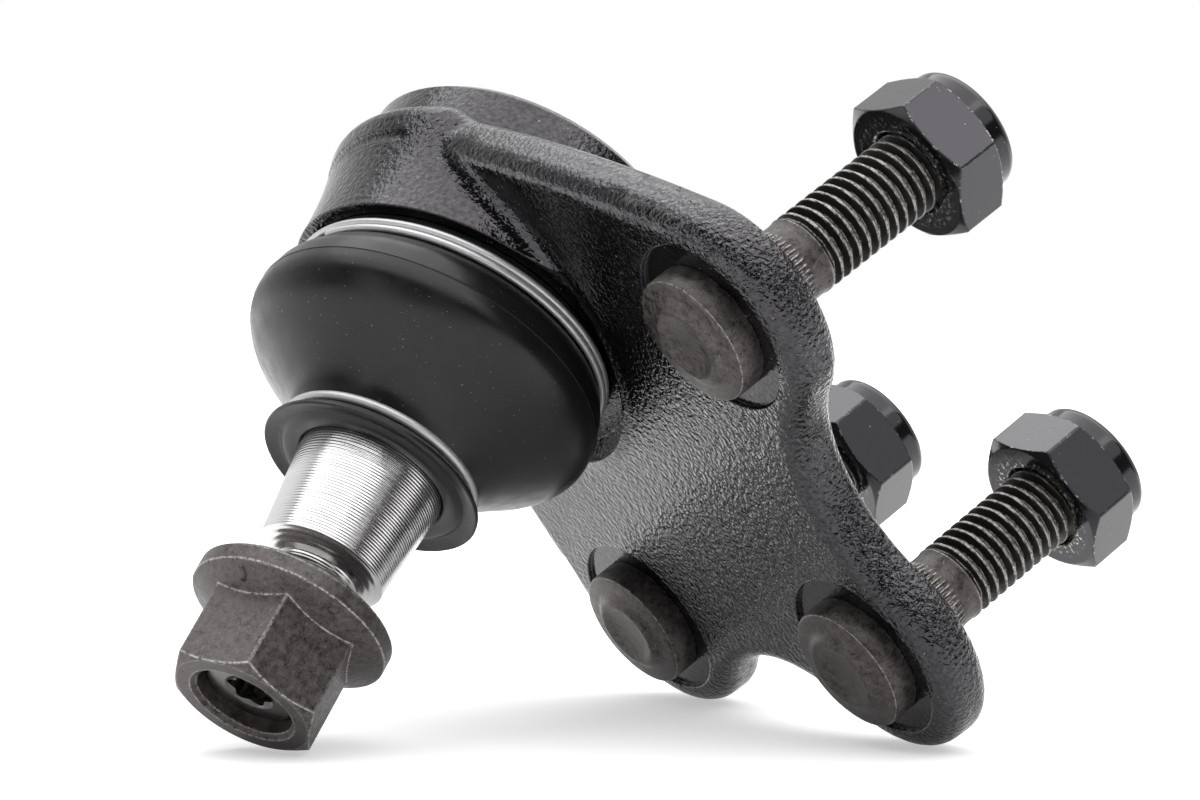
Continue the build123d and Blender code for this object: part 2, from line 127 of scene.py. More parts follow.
class Tree:
    """Short ways to build a node tree. A value is a number, a vector, a colour given as a tuple,
    or another node's output."""

    def __init__(self, owner):
        owner.use_nodes = True
        self.tree = owner.node_tree

    def add(self, kind, **settings):
        """A new node with its settings."""
        node = self.tree.nodes.new(kind)
        for key, value in settings.items():
            setattr(node, key, value)
        return node

    def feed(self, socket, value):
        """Gives an input its value."""
        if isinstance(value, (int, float, Vector)):
            socket.default_value = value
        elif isinstance(value, tuple):
            socket.default_value = (*value, 1.0)
        else:
            self.tree.links.new(value, socket)

    def join(self, kind, *values):
        """A new node's output, with the values fed to its inputs in their order."""
        node = self.add(kind)
        for socket, value in zip(node.inputs, values):
            self.feed(socket, value)
        return node.outputs[0]

    def math(self, operation, first, second=None):
        """The result of an operation on one or two numbers."""
        node = self.add("ShaderNodeMath", operation=operation)
        self.feed(node.inputs[0], first)
        if second is not None:
            self.feed(node.inputs[1], second)
        return node.outputs[0]

    def times(self, first, second):
        """The product of two numbers."""
        return self.math("MULTIPLY", first, second)

    def inverse(self, share):
        """What a share leaves of 1."""
        return self.math("SUBTRACT", 1.0, share)

    def dot(self, first, second):
        """How far one vector reaches along another."""
        node = self.add("ShaderNodeVectorMath", operation="DOT_PRODUCT")
        self.feed(node.inputs[0], first)
        self.feed(node.inputs[1], second)
        return node.outputs["Value"]

    def step(self, source, low, high, start=0.0, end=1.0, curve="LINEAR"):
        """Start where the source is at low, end where it is at high, and level beyond both."""
        node = self.add("ShaderNodeMapRange", clamp=True, interpolation_type=curve)
        self.feed(node.inputs["Value"], source)
        self.feed(node.inputs["From Min"], low)
        self.feed(node.inputs["From Max"], high)
        self.feed(node.inputs["To Min"], start)
        self.feed(node.inputs["To Max"], end)
        return node.outputs["Result"]

    def mix(self, factor, first, second, kind="RGBA"):
        """The first value or colour where the factor is 0, the second where it is 1."""
        low, high, result = MIX_SOCKETS[kind]
        node = self.add("ShaderNodeMix", data_type=kind)
        self.feed(node.inputs[0], factor)
        self.feed(node.inputs[low], first)
        self.feed(node.inputs[high], second)
        return node.outputs[result]


class Coat(Tree):
    """A material built round its Principled shader, with positions in millimetres."""

    def __init__(self, name):
        self.mat = bpy.data.materials.new(name)
        super().__init__(self.mat)
        self.bsdf = self.tree.nodes["Principled BSDF"]
        coord = self.add("ShaderNodeTexCoord")
        scale = self.add("ShaderNodeVectorMath", operation="SCALE")
        self.feed(scale.inputs["Scale"], 1 / MM)
        self.feed(scale.inputs[0], coord.outputs["Object"])
        self.mm = scale.outputs[0]

    def noise(self, per_mm, detail, rough, stretch=None, distort=0.0):
        """Cloudy noise, finer with more per_mm, that may be scaled by itself along each axis."""
        vector = self.mm
        if stretch:
            mapping = self.add("ShaderNodeMapping")
            mapping.inputs["Scale"].default_value = stretch
            self.feed(mapping.inputs["Vector"], self.mm)
            vector = mapping.outputs[0]
        node = self.add("ShaderNodeTexNoise")
        self.feed(node.inputs["Vector"], vector)
        self.feed(node.inputs["Scale"], per_mm)
        self.feed(node.inputs["Detail"], detail)
        self.feed(node.inputs["Roughness"], rough)
        self.feed(node.inputs["Distortion"], distort)
        return node.outputs["Fac"]

    def ramp(self, source, *stops):
        """A grey ramp between two (place, level) stops."""
        node = self.add("ShaderNodeValToRGB")
        for element, (place, level) in zip(node.color_ramp.elements, stops):
            element.position = place
            element.color = (level, level, level, 1.0)
        self.feed(node.inputs["Fac"], source)
        return node.outputs["Color"]

    def along(self, direction):
        """How far a point lies along a direction."""
        return self.dot(self.mm, direction)

    def bolt_distance(self):
        """Distance from the nearest bolt's axis."""
        flat = self.join("ShaderNodeCombineXYZ", self.along(ALONG), self.along(ACROSS))
        nearest = None
        for along, across in BOLT_SPOTS.values():
            away = self.add("ShaderNodeVectorMath", operation="DISTANCE")
            self.feed(away.inputs[0], flat)
            self.feed(away.inputs[1], Vector((along, across, 0)))
            reach = away.outputs["Value"]
            nearest = reach if nearest is None else self.math("MINIMUM", nearest, reach)
        return nearest

    def specks(self, per_mm, threshold, colour, tone):
        """Small light grains of dust on top of a tone."""
        cloud = self.noise(per_mm, 1.0, 0.4)
        grain = self.ramp(cloud, (threshold, 0.0), (threshold + SPECK_FADE, 1.0))
        return self.mix(grain, tone, colour)

    def rounded(self, radius, samples):
        """The normal of the surface as if its edges were rounded."""
        node = self.add("ShaderNodeBevel", samples=samples)
        self.feed(node.inputs["Radius"], radius * MM)
        return node.outputs[0]

    def edges(self, radius):
        """1 along convex or concave edges, 0 on flats."""
        geometry = self.add("ShaderNodeNewGeometry")
        level = self.dot(self.rounded(radius, EDGE_SAMPLES), geometry.outputs["Normal"])
        return self.ramp(self.inverse(level), (EDGE_BEND[0], 0.0), (EDGE_BEND[1], 1.0))

    def bump(self, *layers, soften=0.0):
        """Chains (height, strength, distance) layers into the shader's normal, over edges that
        are rounded by the radius soften."""
        normal = self.rounded(soften, SOFTEN_SAMPLES) if soften else None
        for height, strength, distance in layers:
            node = self.add("ShaderNodeBump")
            self.feed(node.inputs["Strength"], strength)
            self.feed(node.inputs["Distance"], distance * MM)
            self.feed(node.inputs["Height"], height)
            if normal is not None:
                self.feed(node.inputs["Normal"], normal)
            normal = node.outputs[0]
        self.feed(self.bsdf.inputs["Normal"], normal)

    def set(self, **values):
        """Fills the shader's inputs, with _ for a space in an input's name."""
        for name, value in values.items():
            self.feed(self.bsdf.inputs[name.replace("_", " ")], value)


# ---- materials -------------------------------------------------------------------------------
# Each pair is where one look fades into the next, measured:
# from a bolt's axis
POCKET_WALL = (10.8, 11.0)
# THREAD_FLANK is where the painted shade of the bolts' thread grooves fades out
THREAD_FLANK = (4.88, 4.97)
THREAD_CREST = (4.95, 4.995)
SCRAPED = (6.4, 7.6)
# along the plate's normal, and along the plate
POCKET_FLOOR = (0.3, 0.7)
PLATE_GRAIN = (-20.0, -34.0)
# down from the top of a bolt's thread, and up the stud
THREAD_START = (0.0, 0.3)
TURNING_END = (45.3, 46.4)

POCKET_CALM = 0.88
BARREL_PEEL = 0.30
PLATE_PEEL = 0.70
TURNING_RATE = 17.0
TURNING_WOBBLE = 4.0
PLASTIC_LIGHTER = 1.15


def ecoat():
    """Deep black electrocoat over forged steel: leathery grain, smooth in the milled pockets."""
    coat = Coat("ecoat_black")
    peel = coat.noise(1.75, 1.5, 0.5, distort=0.25)
    ripple = coat.noise(0.55, 2.0, 0.5)
    grain = coat.noise(4.5, 3.0, 0.6)
    forge = coat.noise(0.13, 3.0, 0.5)
    inside = coat.inverse(coat.step(coat.bolt_distance(), *POCKET_WALL))
    in_pocket = coat.times(inside, coat.step(coat.along(NORMAL), *POCKET_FLOOR))
    rough = coat.inverse(coat.times(in_pocket, POCKET_CALM))
    more = coat.times(coat.step(coat.along(ALONG), *PLATE_GRAIN), PLATE_PEEL)
    coarse = coat.math("ADD", more, BARREL_PEEL)
    tone = coat.mix(forge, (0.0020, 0.0019, 0.0021), (0.0042, 0.0039, 0.0043))
    tone = coat.specks(2.4, 0.755, (0.20, 0.19, 0.19), tone)
    coat.set(Base_Color=tone, IOR=1.64, Specular_Tint=(0.98, 0.94, 1.0),
             Specular_IOR_Level=coat.ramp(coat.noise(1.7, 2.0, 0.6), (0.36, 0.38), (0.62, 0.60)),
             Roughness=coat.ramp(coat.noise(0.9, 3.0, 0.6), (0.3, 0.06), (0.75, 0.12)))
    coat.bump((coat.times(forge, rough), 0.6, 0.18),
              (coat.times(ripple, rough), 0.7, 0.07),
              (coat.times(coat.times(peel, rough), coarse), 1.0, 0.42),
              (grain, 0.3, 0.015), soften=0.35)
    return coat.mat


def rubber():
    """Satin moulded rubber, faintly mottled, with a little dust of two sizes."""
    coat = Coat("boot_rubber")
    fine = coat.noise(6.0, 4.0, 0.6)
    broad = coat.noise(0.14, 3.0, 0.5)
    tone = coat.mix(broad, (0.0045, 0.0042, 0.0046), (0.0090, 0.0085, 0.0094))
    tone = coat.specks(3.6, 0.765, (0.16, 0.15, 0.15), tone)
    tone = coat.specks(1.7, 0.80, (0.12, 0.11, 0.10), tone)
    coat.set(Base_Color=tone, IOR=1.42,
             Roughness=coat.ramp(coat.noise(0.35, 3.0, 0.6), (0.3, 0.28), (0.7, 0.40)))
    coat.bump((fine, 0.25, 0.02), (broad, 0.2, 0.2), soften=0.12)
    return coat.mat


def turned_steel():
    """Bright steel with fine grooves round the stud's axis, dull on the thread."""
    coat = Coat("turned_steel")
    height = coat.along(Vector((0, 0, 1)))
    wobble = coat.noise(0.5, 2.0, 0.5, stretch=(0.12, 0.12, 2.0))
    turns = coat.math("ADD", coat.times(height, TURNING_RATE), coat.times(wobble, TURNING_WOBBLE))
    groove = coat.math("SINE", turns)
    streak = coat.noise(3.0, 3.0, 0.7, stretch=(0.04, 0.04, 4.0))
    tone = coat.mix(streak, (0.56, 0.55, 0.55), (0.86, 0.85, 0.85))
    tone = coat.mix(coat.step(height, *TURNING_END), tone, (0.20, 0.195, 0.19))
    coat.set(Base_Color=tone, Metallic=1.0, Roughness=coat.ramp(streak, (0.3, 0.13), (0.7, 0.27)))
    coat.bump((groove, 0.5, 0.02), (streak, 0.3, 0.02))
    return coat.mat


def wire():
    """Zinc-plated spring wire."""
    coat = Coat("zinc_wire")
    streak = coat.noise(1.2, 2.0, 0.5)
    tone = coat.mix(streak, (0.56, 0.56, 0.57), (0.68, 0.68, 0.69))
    coat.set(Base_Color=tone, Metallic=0.8, Roughness=coat.ramp(streak, (0.3, 0.44), (0.7, 0.52)))
    coat.bump((streak, 0.06, 0.02))
    return coat.mat


def thread_groove_shade_and_wear(coat, tone, rubbed):
    """The bolts' thread over a tone: painted shade darkens the flanks in the grooves nearly to black, and
    a worn light line runs along each crest.
    """
    away = coat.bolt_distance()
    below = coat.math("SUBTRACT", SEAT_LEVEL + BOLT_THREAD_TOP, coat.along(NORMAL))
    threaded = coat.step(below, *THREAD_START)
    # painted shade: the thread's grooves are darkened nearly to black
    groove_shade = coat.times(threaded, coat.inverse(coat.step(away, *THREAD_FLANK)))
    crest = coat.times(coat.times(threaded, coat.step(away, *THREAD_CREST)), rubbed)
    tone = coat.mix(groove_shade, tone, (0.016, 0.015, 0.014))
    return coat.mix(crest, tone, (0.32, 0.30, 0.285))


def phosphate(name, dark, light, edge, edge_radius, thread=False):
    """Phosphated steel: mottled and grainy, with edges rubbed bright."""
    coat = Coat(name)
    mottle = coat.ramp(coat.noise(1.1, 5.0, 0.7), (0.36, 0.0), (0.64, 1.0))
    grain = coat.noise(4.0, 3.0, 0.7)
    scored = coat.noise(1.4, 2.0, 0.7, stretch=(6.0, 1.0, 0.6), distort=0.6)
    rubbed = coat.ramp(coat.noise(2.2, 3.0, 0.7), (0.40, 0.1), (0.56, 1.0))
    tone = coat.mix(mottle, dark, light)
    tone = coat.mix(coat.ramp(grain, (0.45, 0.0), (0.70, 0.8)), tone, light)
    tone = coat.mix(coat.ramp(scored, (0.68, 0.0), (0.74, 0.4)), tone, edge)
    if thread:
        # painted shade in the thread's grooves, with worn light crests
        tone = thread_groove_shade_and_wear(coat, tone, rubbed)
    tone = coat.mix(coat.times(coat.edges(edge_radius), rubbed), tone, edge)
    coat.set(Base_Color=tone, Metallic=0.6, Roughness=coat.ramp(mottle, (0.3, 0.32), (0.7, 0.5)))
    coat.bump((mottle, 0.35, 0.05), (grain, 0.6, 0.04), soften=0.12)
    return coat.mat


def black_paint():
    """Glossy black paint on the lock nuts, chipped along the edges and scraped off in flakes
    where the nut was run on over the thread."""
    coat = Coat("nut_black_paint")
    peel = coat.noise(0.5, 2.0, 0.5)
    fine = coat.noise(5.0, 3.0, 0.6)
    chips = coat.times(coat.edges(0.35), coat.ramp(coat.noise(1.6, 3.0, 0.7), (0.585, 0.0), (0.61, 1.0)))
    by_thread = coat.inverse(coat.step(coat.bolt_distance(), *SCRAPED))
    flakes = coat.times(by_thread, coat.ramp(coat.noise(1.9, 3.0, 0.7), (0.575, 0.0), (0.595, 1.0)))
    bare = coat.math("MAXIMUM", chips, flakes)
    tone = coat.mix(bare, (0.0060, 0.0060, 0.0066), (0.62, 0.60, 0.58))
    tone = coat.specks(2.1, 0.78, (0.3, 0.3, 0.3), tone)
    coat.set(Base_Color=tone, Metallic=bare, Roughness=coat.ramp(fine, (0.3, 0.10), (0.8, 0.18)),
             IOR=1.55, Specular_Tint=(0.97, 0.93, 1.0))
    coat.bump((peel, 0.2, 0.08), (fine, 0.08, 0.02), soften=0.3)
    return coat.mat


def plastic(name, tone, rough):
    """Moulded plastic with a fine grain and a slight change of tone."""
    coat = Coat(name)
    fine = coat.noise(3.0, 3.0, 0.6)
    light = tuple(part * PLASTIC_LIGHTER for part in tone)
    coat.set(Base_Color=coat.mix(fine, tone, light),
             Roughness=coat.ramp(fine, (0.3, rough), (0.7, rough + 0.1)))
    coat.bump((fine, 0.1, 0.03), soften=0.15)
    return coat.mat


def cap_metal():
    """Bare pressed steel."""
    coat = Coat("cap_metal")
    streak = coat.noise(1.2, 4.0, 0.6)
    coat.set(Base_Color=coat.mix(streak, (0.50, 0.50, 0.51), (0.72, 0.72, 0.73)), Metallic=1.0,
             Roughness=coat.ramp(streak, (0.3, 0.28), (0.7, 0.45)))
    coat.bump((streak, 0.2, 0.05), soften=0.2)
    return coat.mat


ECOAT = ecoat()
RUBBER = rubber()
STEEL = turned_steel()
WIRE = wire()
NUT_PHOSPHATE = phosphate("nut_phosphate", (0.029, 0.0245, 0.0245), (0.130, 0.116, 0.115),
                          (0.64, 0.60, 0.58), 0.45)
BOLT_PHOSPHATE = phosphate("bolt_phosphate", (0.018, 0.0160, 0.0155), (0.115, 0.103, 0.100),
                           (0.60, 0.57, 0.54), 0.26, thread=True)
NUT_PAINT = black_paint()
NYLON = plastic("nylon_dark", (0.02, 0.02, 0.022), 0.3)
ACETAL = plastic("seat_acetal", (0.75, 0.73, 0.68), 0.35)
CAP = cap_metal()


def cover(mesh, material):
    """Gives a whole mesh one material."""
    mesh.materials.clear()
    mesh.materials.append(material)
    mesh.polygons.foreach_set("material_index", [0] * len(mesh.polygons))


def paint(node, material):
    """Gives one of the frame's nodes its material."""
    cover(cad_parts[node].data, material)


# ---- turned meshes ---------------------------------------------------------------------------
SHARP_ANGLE = radians(32)
CURVE_STEPS = 10


def ring_faces(lower, upper):
    """Faces between two rings of vertices, either of which may be a single point."""
    segments = max(len(lower), len(upper))
    faces = []
    for k in range(segments):
        following = (k + 1) % segments
        if len(lower) == 1:
            faces.append((lower[0], upper[following], upper[k]))
        elif len(upper) == 1:
            faces.append((lower[k], lower[following], upper[0]))
        else:
            faces.append((lower[k], lower[following], upper[following], upper[k]))
    return faces


def spun(name, outline, segments, place, material, radius_at=None):
    """A closed surface of revolution. An outline ends in points of radius zero, or its last ring
    is joined to its first. radius_at(radius, height, angle) may change each point's radius."""
    vertices = []
    rings = []
    for radius, height in outline:
        start = len(vertices)
        if radius == 0:
            vertices.append(Vector((0, 0, height * MM)))
            rings.append([start])
            continue
        for k in range(segments):
            angle = 2 * pi * k / segments
            reach = radius_at(radius, height, angle) if radius_at else radius
            vertices.append(Vector((reach * cos(angle) * MM, reach * sin(angle) * MM, height * MM)))
        rings.append(list(range(start, len(vertices))))
    faces = []
    for lower, upper in zip(rings, rings[1:]):
        faces += ring_faces(lower, upper)
    if len(rings[0]) > 1 and len(rings[-1]) > 1:
        faces += ring_faces(rings[-1], rings[0])
    mesh = bpy.data.meshes.new(name)
    mesh.from_pydata([place @ vertex for vertex in vertices], [], faces)
    mesh.polygons.foreach_set("use_smooth", [True] * len(mesh.polygons))
    mesh.set_sharp_from_angle(angle=SHARP_ANGLE)
    mesh.materials.append(material)
    mesh.update()
    return add_object(name, mesh)


def eased(points):
    """A smooth curve through an outline's points."""
    result = []
    for i in range(len(points) - 1):
        before = points[max(i - 1, 0)]
        after = points[min(i + 2, len(points) - 1)]
        for k in range(CURVE_STEPS):
            t = k / CURVE_STEPS
            result.append(tuple(
                0.5 * (2 * b + (c - a) * t + (2 * a - 5 * b + 4 * c - d) * t * t
                       + (3 * b - a - 3 * c + d) * t ** 3)
                for a, b, c, d in zip(before, points[i], points[i + 1], after)))
    result.append(points[-1])
    return result


def clamped(value):
    """The value held between 0 and 1."""
    return max(0.0, min(1.0, value))


def between(height, low, high, rise, fall):
    """1 between two heights, fading to 0 at them over the lengths rise and fall."""
    return clamped((height - low) / rise) * clamped((high - height) / fall)


# ---- threads ---------------------------------------------------------------------------------
# The shares of half a pitch that the root and the flank take. The crest has the rest.
ROOT_SHARE = 0.16
FLANK_SHARE = 0.62


def thread_rows(radius, low, high, pitch, per_pitch):
    """Closely spaced outline points for a thread to be cut into."""
    count = int(round((high - low) / pitch * per_pitch))
    return [(radius, low + (high - low) * k / count) for k in range(count + 1)]


def thread_depth(height, angle, pitch, depth):
    """How far below the crest a right-hand thread's surface lies."""
    phase = (height / pitch - angle / (2 * pi)) % 1.0
    from_root = abs(phase - 0.5) * 2
    return depth * (1 - clamped((from_root - ROOT_SHARE) / FLANK_SHARE))


# ---- bolts: head on height 0, shank down -----------------------------------------------------
# A thread's RISE and FALL are the lengths over which it grows to full depth and runs out again.
BOLT_HEAD = ((0, 3.70), (1.6, 3.74), (3.0, 3.95), (3.8, 4.25), (4.25, 4.40), (4.6, 4.36), (5.1, 4.0),
             (5.6, 3.66), (6.2, 3.50), (7.55, 3.46), (7.9, 3.28), (8.05, 2.95), (8.05, 0.25),
             (7.95, 0.02), (5.26, 0.0))
BOLT_RADIUS = 5.0
BOLT_TIP = -40.0
BOLT_END = ((4.5, BOLT_TIP + 0.5), (3.95, BOLT_TIP), (0, BOLT_TIP))
BOLT_ROWS_PER_PITCH = 10
BOLT_PITCH = 1.5
BOLT_THREAD_DEPTH = 0.86
BOLT_THREAD_RISE = 0.4
BOLT_THREAD_FALL = 1.2
BOLT_SEGMENTS = 176
KNURL_TEETH = 44
KNURL_START = -0.5
KNURL_END = -11.0
KNURL_TAPER = 0.6
KNURL_FADE = 1.3
KNURL_ROOT = 4.88
KNURL_DEPTH = 0.37
KNURL_RADIUS = 5.25
KNURL_BODY = ((KNURL_RADIUS, KNURL_START - 0.1), (KNURL_RADIUS, -6.0))
KNURL_POINT_ROWS = 9
KNURL_POINT_STEP = 0.2
BOLT_NECK = ((4.86, KNURL_END - 1.25), (4.84, -13.0), (4.9, -13.7))


def bolt_radius(radius, height, angle):
    """Knurl with pointed ends under the head, and the rolled thread."""
    if KNURL_END - 2 * KNURL_TAPER < height < KNURL_START:
        tooth = 0.5 + 0.5 * cos(KNURL_TEETH * angle)
        past = max(0.0, (KNURL_END + KNURL_TAPER - height) / KNURL_FADE)
        return KNURL_ROOT + KNURL_DEPTH * max(0.0, tooth - past)
    if height < BOLT_THREAD_TOP:
        fade = between(height, BOLT_TIP, BOLT_THREAD_TOP, BOLT_THREAD_RISE, BOLT_THREAD_FALL)
        return radius - thread_depth(height, angle, BOLT_PITCH, BOLT_THREAD_DEPTH) * fade
    return radius


def make_bolt(spot):
    """A press-in bolt in its hole of the plate."""
    points = [(KNURL_RADIUS, KNURL_END + KNURL_TAPER - KNURL_POINT_STEP * k)
              for k in range(KNURL_POINT_ROWS)]
    thread = thread_rows(BOLT_RADIUS, BOLT_TIP + 1.0, BOLT_THREAD_TOP, BOLT_PITCH, BOLT_ROWS_PER_PITCH)
    outline = [*BOLT_HEAD, *KNURL_BODY, *points, *BOLT_NECK, *reversed(thread), *BOLT_END]
    along, across = BOLT_SPOTS[spot]
    origin = (ALONG * along + ACROSS * across + NORMAL * SEAT_LEVEL) * MM
    place = placing(origin, ALONG, ACROSS, NORMAL)
    obj = spun("bolt_body_" + spot, outline, BOLT_SEGMENTS, place, BOLT_PHOSPHATE, bolt_radius)
    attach(obj, "bracket")
    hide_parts("bolt_" + spot)


for spot in BOLT_SPOTS:
    make_bolt(spot)
    paint("lock_nut_" + spot, NUT_PAINT)
    paint("nylon_insert_" + spot, NYLON)


# ---- ball stud with its rolled thread and socket ----------------------------------------------
# The ball's outline goes from BALL_FIRST to BALL_LAST of the BALL_STEPS from its foot to its top.
BALL_RADIUS = 11
BALL_STEPS = 40
BALL_FIRST = 4
BALL_LAST = 31
BALL_FLAT = ((0, -10.64), (2.8, -10.64))
SHANK = ((6.0, 9.21), (6.0, 12.0), (9.2, 22.0), (9.2, 31.3), (9.17, 31.5), (7.97, 43.9), (7.7, 44.2),
         (6.0, 45.1), (5.35, 45.4), (5.2, 46.1))
STUD_END_RADIUS = 5.5
SOCKET_FLOOR = 59.2
STUD_TOP = ((STUD_END_RADIUS, 62.0), (5.2, 62.2), (3.1, 62.2), (2.94, 62.1), (2.5, 62.0), (2.48, 59.3),
            (0, SOCKET_FLOOR))
STUD_SEGMENTS = 144
STUD_THREAD_RADIUS = 5.95
STUD_THREAD_LOW = 46.4
STUD_THREAD_HIGH = 61.9
STUD_THREAD_RISE = 1.0
STUD_THREAD_FALL = 0.6
STUD_THREAD_DEPTH = 0.72
STUD_PITCH = 1.25
STUD_ROWS_PER_PITCH = 9
SOCKET_REACH = 2.6
SOCKET_LOBES = 6
SOCKET_WAVE = 0.35


def stud_radius(radius, height, angle):
    """The rolled thread, and the socket's star in the stud's top."""
    if radius > STUD_END_RADIUS:
        fade = between(height, STUD_THREAD_LOW, STUD_THREAD_HIGH, STUD_THREAD_RISE, STUD_THREAD_FALL)
        return radius - thread_depth(height, angle, STUD_PITCH, STUD_THREAD_DEPTH) * fade
    if height > SOCKET_FLOOR and radius < SOCKET_REACH:
        return radius + SOCKET_WAVE * cos(SOCKET_LOBES * angle)
    return radius


def make_stud():
    """Ball, neck, grip, taper and thread in one piece."""
    ball = [(BALL_RADIUS * sin(k * pi / BALL_STEPS), -BALL_RADIUS * cos(k * pi / BALL_STEPS))
            for k in range(BALL_FIRST, BALL_LAST + 1)]
    thread = thread_rows(STUD_THREAD_RADIUS, STUD_THREAD_LOW + 0.1, STUD_THREAD_HIGH - 0.1, STUD_PITCH,
                         STUD_ROWS_PER_PITCH)
    outline = [*BALL_FLAT, *ball, *SHANK, *thread, *STUD_TOP]
    obj = spun("ball_stud_body", outline, STUD_SEGMENTS, Matrix.Identity(4), STEEL, stud_radius)
    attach(obj, "stud")
    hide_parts("ball_stud")


make_stud()


# ---- raised marks on the stud nut's flange -----------------------------------------------------
FLANGE_SLOPE = radians(28.3)
FLANGE_REACH = 10.6
FLANGE_LEVEL = 53.2
MARK_DOME = ((0, 0.40), (0.45, 0.38), (0.75, 0.29), (0.95, 0.1), (1.0, -0.2), (0, -0.2))
MARK_SEGMENTS = 32


def flange_mark(name, reach, degrees, half_length, half_width):
    """A low rounded bar or dot on the flange's cone, so far from the axis and round it."""
    angle = radians(degrees)
    outward = Vector((cos(angle), sin(angle), 0))
    upward = Vector((0, 0, 1))
    normal = outward * sin(FLANGE_SLOPE) + upward * cos(FLANGE_SLOPE)
    down = outward * cos(FLANGE_SLOPE) - upward * sin(FLANGE_SLOPE)
    side = normal.cross(down)
    level = FLANGE_LEVEL - (reach - FLANGE_REACH) * sin(FLANGE_SLOPE) / cos(FLANGE_SLOPE)
    origin = (outward * reach + upward * level) * MM
    place = placing(origin, down * half_length, side * half_width, normal)
    obj = spun(name, MARK_DOME, MARK_SEGMENTS, place, NUT_PHOSPHATE)
    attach(obj, "stud_nut")


flange_mark("flange_bar", 10.6, -58.4, 1.15, 0.5)
flange_mark("flange_dot", 11.0, -121.4, 0.65, 0.65)


# ---- dust boot in two halves, joined at the mould's parting line ------------------------------
PARTING = 14.4
BOOT_OUTSIDE = ((19.75, 6.8), (19.75, 9.5), (20.2, 9.95), (20.9, 10.7), (21.7, 12.1), (22.3, PARTING),
                (22.35, 16.0), (21.85, 17.5), (20.35, 19.5), (17.6, 21.8), (14.8, 24.2), (13.0, 26.1),
                (12.2, 27.6))
BOOT_INSIDE = ((9.7, 25.9), (13.0, 23.0), (16.6, 20.1), (19.1, 17.7), (20.35, PARTING), (19.9, 12.9),
               (18.7, 11.2), (18.05, 10.3), (18.05, 6.8))
LIP = ((12.0, 27.72), (11.65, 27.85), (11.65, 28.85), (11.9, 29.05), (12.5, 29.2), (13.3, 29.75),
       (13.85, 30.3), (13.9, 30.62), (13.72, 30.8), (13.3, 30.72), (12.4, 30.32), (11.9, 30.35),
       (11.3, 30.85), (11.0, 30.95), (10.2, 30.9), (9.6, 30.75), (9.27, 30.4), (9.25, 26.2))
FLASH_ROOT = 22.33
FLASH_RADIUS = 22.37
FLASH_HALF = 0.10
BELLY_LOW = 9.5
BELLY_HIGH = 25.0
BELLY_RISE = 3.0
BELLY_FALL = 5.0
BELLY_SHIFT = 0.5
BOOT_SEGMENTS = 180


def boot_radius(radius, height, angle):
    """The belly hangs a little to one side."""
    swing = between(height, BELLY_LOW, BELLY_HIGH, BELLY_RISE, BELLY_FALL)
    return radius + BELLY_SHIFT * swing * cos(angle)


def make_boot():
    """The boot's wall, inside and outside, with a fine flash standing along the parting line."""
    flash = (FLASH_RADIUS, PARTING)
    skirt = [*BOOT_OUTSIDE[:2], *eased(BOOT_OUTSIDE[2:6])[:-1], (FLASH_ROOT, PARTING - FLASH_HALF), flash]
    skirt += [*eased(BOOT_INSIDE[4:7]), *BOOT_INSIDE[7:]]
    swell = [flash, (FLASH_ROOT, PARTING + FLASH_HALF), *eased(BOOT_OUTSIDE[5:])[1:]]
    swell += [*LIP, *eased(BOOT_INSIDE[:5])]
    here = Matrix.Identity(4)
    lower = spun("boot_skirt_half", skirt, BOOT_SEGMENTS, here, RUBBER, boot_radius)
    upper = spun("boot_lip_half", swell, BOOT_SEGMENTS, here, RUBBER, boot_radius)
    for obj in (lower, upper):
        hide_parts("dust_boot")
    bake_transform(lower)
    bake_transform(upper)


make_boot()


# ---- bracket -----------------------------------------------------------------------------------
# The solid's crease is cut by a whole turn of a ring-shaped groove, which also bores through the
# plate's flanks. Here the bored walls go and their mouths are closed, so the crease stays only
# on the barrel.
GROOVE_CENTRE = (-0.7, 0.0, -3.1)
GROOVE_MAJOR = 24.05
GROOVE_MINOR = 1.4
GROOVE_SLACK = 0.03
CREASE_END = 13.5
WELD_DISTANCE = 0.001


def on_groove(point):
    """Whether a point in metres lies on the wall of the ring-shaped groove."""
    x, y, z = (point[i] / MM - GROOVE_CENTRE[i] for i in range(3))
    from_ring = sqrt((sqrt(x * x + y * y) - GROOVE_MAJOR) ** 2 + z * z)
    return abs(from_ring - GROOVE_MINOR) < GROOVE_SLACK


def is_bored(face):
    """Whether a face belongs to the groove's wall behind the end of the crease."""
    behind = face.calc_center_median().x < CREASE_END * MM
    return behind and all(on_groove(vertex.co) for vertex in face.verts)


def close_bores(shape, kept):
    """Takes the bored walls away and closes their mouths. A corner of a closing face takes the
    kept normal round it that is nearest its face's own."""
    bored = [face for face in shape.faces if is_bored(face)]
    bmesh.ops.delete(shape, geom=bored, context="FACES")
    rims = [edge for edge in shape.edges if len(edge.link_faces) == 1]
    patches = bmesh.ops.holes_fill(shape, edges=rims, sides=0)["faces"]
    patches = bmesh.ops.triangulate(shape, faces=patches)["faces"]
    for face in patches:
        face.smooth = True
        for corner in face.loops:
            around = [other[kept] for other in corner.vert.link_loops if other.face not in patches]
            corner[kept] = max(around, key=face.normal.dot)


